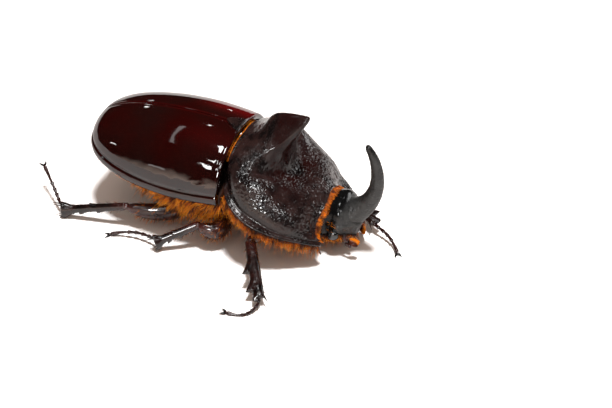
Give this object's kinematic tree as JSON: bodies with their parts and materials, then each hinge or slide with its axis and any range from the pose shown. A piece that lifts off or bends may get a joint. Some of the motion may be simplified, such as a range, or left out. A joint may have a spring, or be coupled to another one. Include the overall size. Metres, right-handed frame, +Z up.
{
  "type": "rhinoceros beetle",
  "caption": "Male rhinoceros beetle walking, life size: curved head horn, knobbed neck shield, glossy chestnut wing cases, toothed legs and an orange-haired underside.",
  "frame": {"origin": "on the floor, under the middle of the beetle's bounding box", "axes": "+X along the body towards the head and horn, +Y towards the beetle's left side, +Z up from the floor"},
  "size_m": [0.0525, 0.042, 0.0185],
  "materials": {
    "chestnut_shell": "glossy",
    "black_shell": "satin to glossy, finely wrinkled",
    "horn_black": "satin",
    "eye": "glossy",
    "amber": "satin",
    "leg_shell": "glossy",
    "orange_hair": "hairy"
  },
  "bodies": {
    "root": {"belly": "orange_hair", "claws_front_left": "horn_black", "claws_front_right": "horn_black", "claws_hind_left": "horn_black", "claws_hind_right": "horn_black", "claws_middle_left": "horn_black", "claws_middle_right": "horn_black", "eye_left": "eye", "eye_right": "eye", "feeler_club_left": "amber", "feeler_club_right": "amber", "feeler_left": "black_shell", "feeler_right": "black_shell", "foot_front_left": "leg_shell", "foot_front_right": "leg_shell", "foot_hind_left": "leg_shell", "foot_hind_right": "leg_shell", "foot_middle_left": "leg_shell", "foot_middle_right": "leg_shell", "front_chest": "orange_hair", "head": "horn_black", "hind_chest": "orange_hair", "horn": "horn_black", "neck_shield": "black_shell", "palp_left": "black_shell", "palp_right": "black_shell", "shin_front_left": "leg_shell", "shin_front_right": "leg_shell", "shin_hind_left": "leg_shell", "shin_hind_right": "leg_shell", "shin_middle_left": "leg_shell", "shin_middle_right": "leg_shell", "shoulder_tag": "black_shell", "tail_plate": "chestnut_shell", "thigh_front_left": "leg_shell", "thigh_front_right": "leg_shell", "thigh_hind_left": "leg_shell", "thigh_hind_right": "leg_shell", "thigh_middle_left": "leg_shell", "thigh_middle_right": "leg_shell", "wing_case_left": "chestnut_shell", "wing_case_right": "chestnut_shell"}
  },
  "joints": []
}
